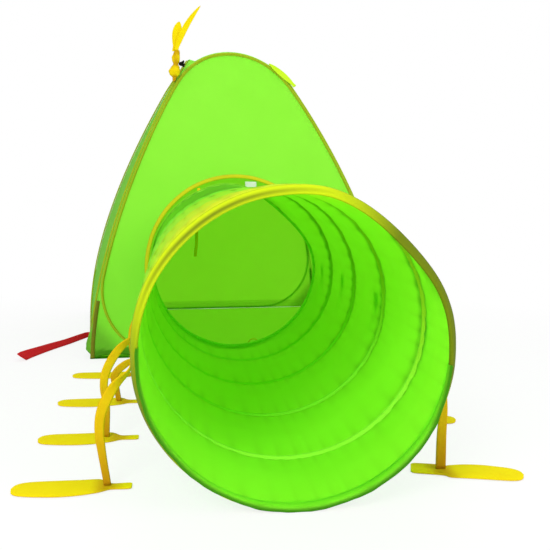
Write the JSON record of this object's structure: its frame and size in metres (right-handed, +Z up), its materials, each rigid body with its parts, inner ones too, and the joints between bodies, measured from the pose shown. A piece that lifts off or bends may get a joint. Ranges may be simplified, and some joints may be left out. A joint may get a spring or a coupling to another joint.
{
  "type": "play_tent_with_tunnel",
  "caption": "Pop-up play tent: four spring-loop cloth walls and a roof cap, with a wire-coil crawl tunnel tied into its doorway and cloth legs with feet along it.",
  "frame": {"origin": "the centre of the tent floor's underside", "axes": "+Z up; +Y from the tunnel's mouth towards the tent, along the tunnel; +X to the right seen from the mouth"},
  "size_m": [1.0889, 2.0796, 1.0323],
  "materials": {
    "lime_nylon": "plain-woven nylon taffeta, lime green, slight sheen",
    "olive_binding": "folded woven binding tape, yellow-olive",
    "spring_steel": "drawn spring-steel wire, hidden in its tape",
    "yellow_felt": "yellow polyester webbing and felt",
    "red_webbing": "red woven strap",
    "black_cord": "frayed black cord",
    "white_satin": "blank white satin tag"
  },
  "bodies": {
    "tent": {"front_panel": "lime_nylon", "right_panel": "lime_nylon", "back_panel": "lime_nylon", "left_panel": "lime_nylon", "roof_panel": "lime_nylon", "floor_sheet": "lime_nylon", "tunnel_cloth": "lime_nylon", "front_sleeve": "olive_binding", "right_sleeve": "olive_binding", "back_sleeve": "olive_binding", "left_sleeve": "olive_binding", "coil_tape": "olive_binding", "rear_ring_binding": "olive_binding", "doorway_binding": "olive_binding", "front_corner_tape": "olive_binding", "right_corner_tape": "olive_binding", "back_corner_tape": "olive_binding", "left_corner_tape": "olive_binding", "front_loop": "spring_steel", "right_loop": "spring_steel", "back_loop": "spring_steel", "left_loop": "spring_steel", "tunnel_coil": "spring_steel", "rear_ring": "spring_steel", "antenna_knot": "yellow_felt", "left_antenna_long": "yellow_felt", "left_antenna_short": "yellow_felt", "right_antenna": "yellow_felt", "tie_bow": "yellow_felt", "black_tuft": "black_cord"},
    "tunnel_mouth": {"front_ring": "spring_steel", "front_ring_binding": "olive_binding"},
    "ribbon": {"tie_ribbon": "yellow_felt"},
    "tag": {"blank_tag": "white_satin"},
    "floor_strap": {"red_strap": "red_webbing"},
    "leg_left_1_seat": {"leg_left_1_patch": "yellow_felt"},
    "leg_left_1": {"leg_left_1_strap": "yellow_felt", "leg_left_1_foot": "yellow_felt"},
    "leg_left_2_seat": {"leg_left_2_patch": "yellow_felt"},
    "leg_left_2": {"leg_left_2_strap": "yellow_felt", "leg_left_2_foot": "yellow_felt"},
    "leg_left_3_seat": {"leg_left_3_patch": "yellow_felt"},
    "leg_left_3": {"leg_left_3_strap": "yellow_felt", "leg_left_3_foot": "yellow_felt"},
    "leg_left_4_seat": {"leg_left_4_patch": "yellow_felt"},
    "leg_left_4": {"leg_left_4_strap": "yellow_felt", "leg_left_4_foot": "yellow_felt"},
    "leg_right_1_seat": {"leg_right_1_patch": "yellow_felt"},
    "leg_right_1": {"leg_right_1_strap": "yellow_felt", "leg_right_1_foot": "yellow_felt"},
    "leg_right_2_seat": {"leg_right_2_patch": "yellow_felt"},
    "leg_right_2": {"leg_right_2_strap": "yellow_felt", "leg_right_2_foot": "yellow_felt"},
    "leg_right_3_seat": {"leg_right_3_patch": "yellow_felt"},
    "leg_right_3": {"leg_right_3_strap": "yellow_felt", "leg_right_3_foot": "yellow_felt"},
    "leg_right_4_seat": {"leg_right_4_patch": "yellow_felt"},
    "leg_right_4": {"leg_right_4_strap": "yellow_felt", "leg_right_4_foot": "yellow_felt"}
  },
  "joints": [
    {"name": "tunnel_collapse", "type": "slide", "parent": "tent", "child": "tunnel_mouth", "axis": [0, 1, 0.0096], "range_m": [0, 0.59], "deforming": ["tunnel_cloth", "tunnel_coil", "coil_tape"]},
    {"name": "leg_left_1_slide", "type": "slide", "parent": "tent", "child": "leg_left_1_seat", "axis": [0, 1, 0.0096], "range_m": [0, 0.5296]},
    {"name": "leg_left_1_swing", "type": "hinge", "parent": "leg_left_1_seat", "child": "leg_left_1", "pos_m": [-0.2356, -1.46365, 0.24719], "axis": [0, 1, 0], "range_deg": [0, 70]},
    {"name": "leg_left_2_slide", "type": "slide", "parent": "tent", "child": "leg_left_2_seat", "axis": [0, 1, 0.0096], "range_m": [0, 0.4072]},
    {"name": "leg_left_2_swing", "type": "hinge", "parent": "leg_left_2_seat", "child": "leg_left_2", "pos_m": [-0.2356, -1.2127, 0.2496], "axis": [0, 1, 0], "range_deg": [0, 70]},
    {"name": "leg_left_3_slide", "type": "slide", "parent": "tent", "child": "leg_left_3_seat", "axis": [0, 1, 0.0096], "range_m": [0, 0.2804]},
    {"name": "leg_left_3_swing", "type": "hinge", "parent": "leg_left_3_seat", "child": "leg_left_3", "pos_m": [-0.2356, -0.95267, 0.25209], "axis": [0, 1, 0], "range_deg": [0, 70]},
    {"name": "leg_left_4_slide", "type": "slide", "parent": "tent", "child": "leg_left_4_seat", "axis": [0, 1, 0.0096], "range_m": [0, 0.1536]},
    {"name": "leg_left_4_swing", "type": "hinge", "parent": "leg_left_4_seat", "child": "leg_left_4", "pos_m": [-0.2356, -0.69264, 0.25459], "axis": [0, 1, 0], "range_deg": [0, 70]},
    {"name": "leg_right_1_slide", "type": "slide", "parent": "tent", "child": "leg_right_1_seat", "axis": [0, 1, 0.0096], "range_m": [0, 0.5183]},
    {"name": "leg_right_1_swing", "type": "hinge", "parent": "leg_right_1_seat", "child": "leg_right_1", "pos_m": [0.2486, -1.44066, 0.24741], "axis": [0, -1, 0], "range_deg": [0, 70]},
    {"name": "leg_right_2_slide", "type": "slide", "parent": "tent", "child": "leg_right_2_seat", "axis": [0, 1, 0.0096], "range_m": [0, 0.3613]},
    {"name": "leg_right_2_swing", "type": "hinge", "parent": "leg_right_2_seat", "child": "leg_right_2", "pos_m": [0.2486, -1.11868, 0.2505], "axis": [0, -1, 0], "range_deg": [0, 70]},
    {"name": "leg_right_3_slide", "type": "slide", "parent": "tent", "child": "leg_right_3_seat", "axis": [0, 1, 0.0096], "range_m": [0, 0.2053]},
    {"name": "leg_right_3_swing", "type": "hinge", "parent": "leg_right_3_seat", "child": "leg_right_3", "pos_m": [0.2486, -0.79864, 0.25357], "axis": [0, -1, 0], "range_deg": [0, 70]},
    {"name": "leg_right_4_slide", "type": "slide", "parent": "tent", "child": "leg_right_4_seat", "axis": [0, 1, 0.0096], "range_m": [0, 0.0819]},
    {"name": "leg_right_4_swing", "type": "hinge", "parent": "leg_right_4_seat", "child": "leg_right_4", "pos_m": [0.2486, -0.54562, 0.256], "axis": [0, -1, 0], "range_deg": [0, 70]},
    {"name": "ribbon_swing", "type": "hinge", "parent": "tent", "child": "ribbon", "pos_m": [-0.09696, -0.3437, 0.47542], "axis": [0.9952, 0.0976, 0], "range_deg": [-60, 35]},
    {"name": "tag_swing", "type": "hinge", "parent": "tent", "child": "tag", "pos_m": [0.05861, -0.31969, 0.49657], "axis": [0.9952, 0.0976, 0], "range_deg": [-50, 30]},
    {"name": "floor_strap_lift", "type": "hinge", "parent": "tent", "child": "floor_strap", "pos_m": [-0.42994, -0.15771, 0.0173], "axis": [-0.0976, 0.9952, 0], "range_deg": [0, 60]}
  ],
  "couplings": [
    {"joint": "leg_left_1_slide", "follows": "tunnel_collapse", "ratio": 0.8967},
    {"joint": "leg_left_2_slide", "follows": "tunnel_collapse", "ratio": 0.6893},
    {"joint": "leg_left_3_slide", "follows": "tunnel_collapse", "ratio": 0.4744},
    {"joint": "leg_left_4_slide", "follows": "tunnel_collapse", "ratio": 0.2595},
    {"joint": "leg_right_1_slide", "follows": "tunnel_collapse", "ratio": 0.8777},
    {"joint": "leg_right_2_slide", "follows": "tunnel_collapse", "ratio": 0.6116},
    {"joint": "leg_right_3_slide", "follows": "tunnel_collapse", "ratio": 0.3471},
    {"joint": "leg_right_4_slide", "follows": "tunnel_collapse", "ratio": 0.138}
  ]
}
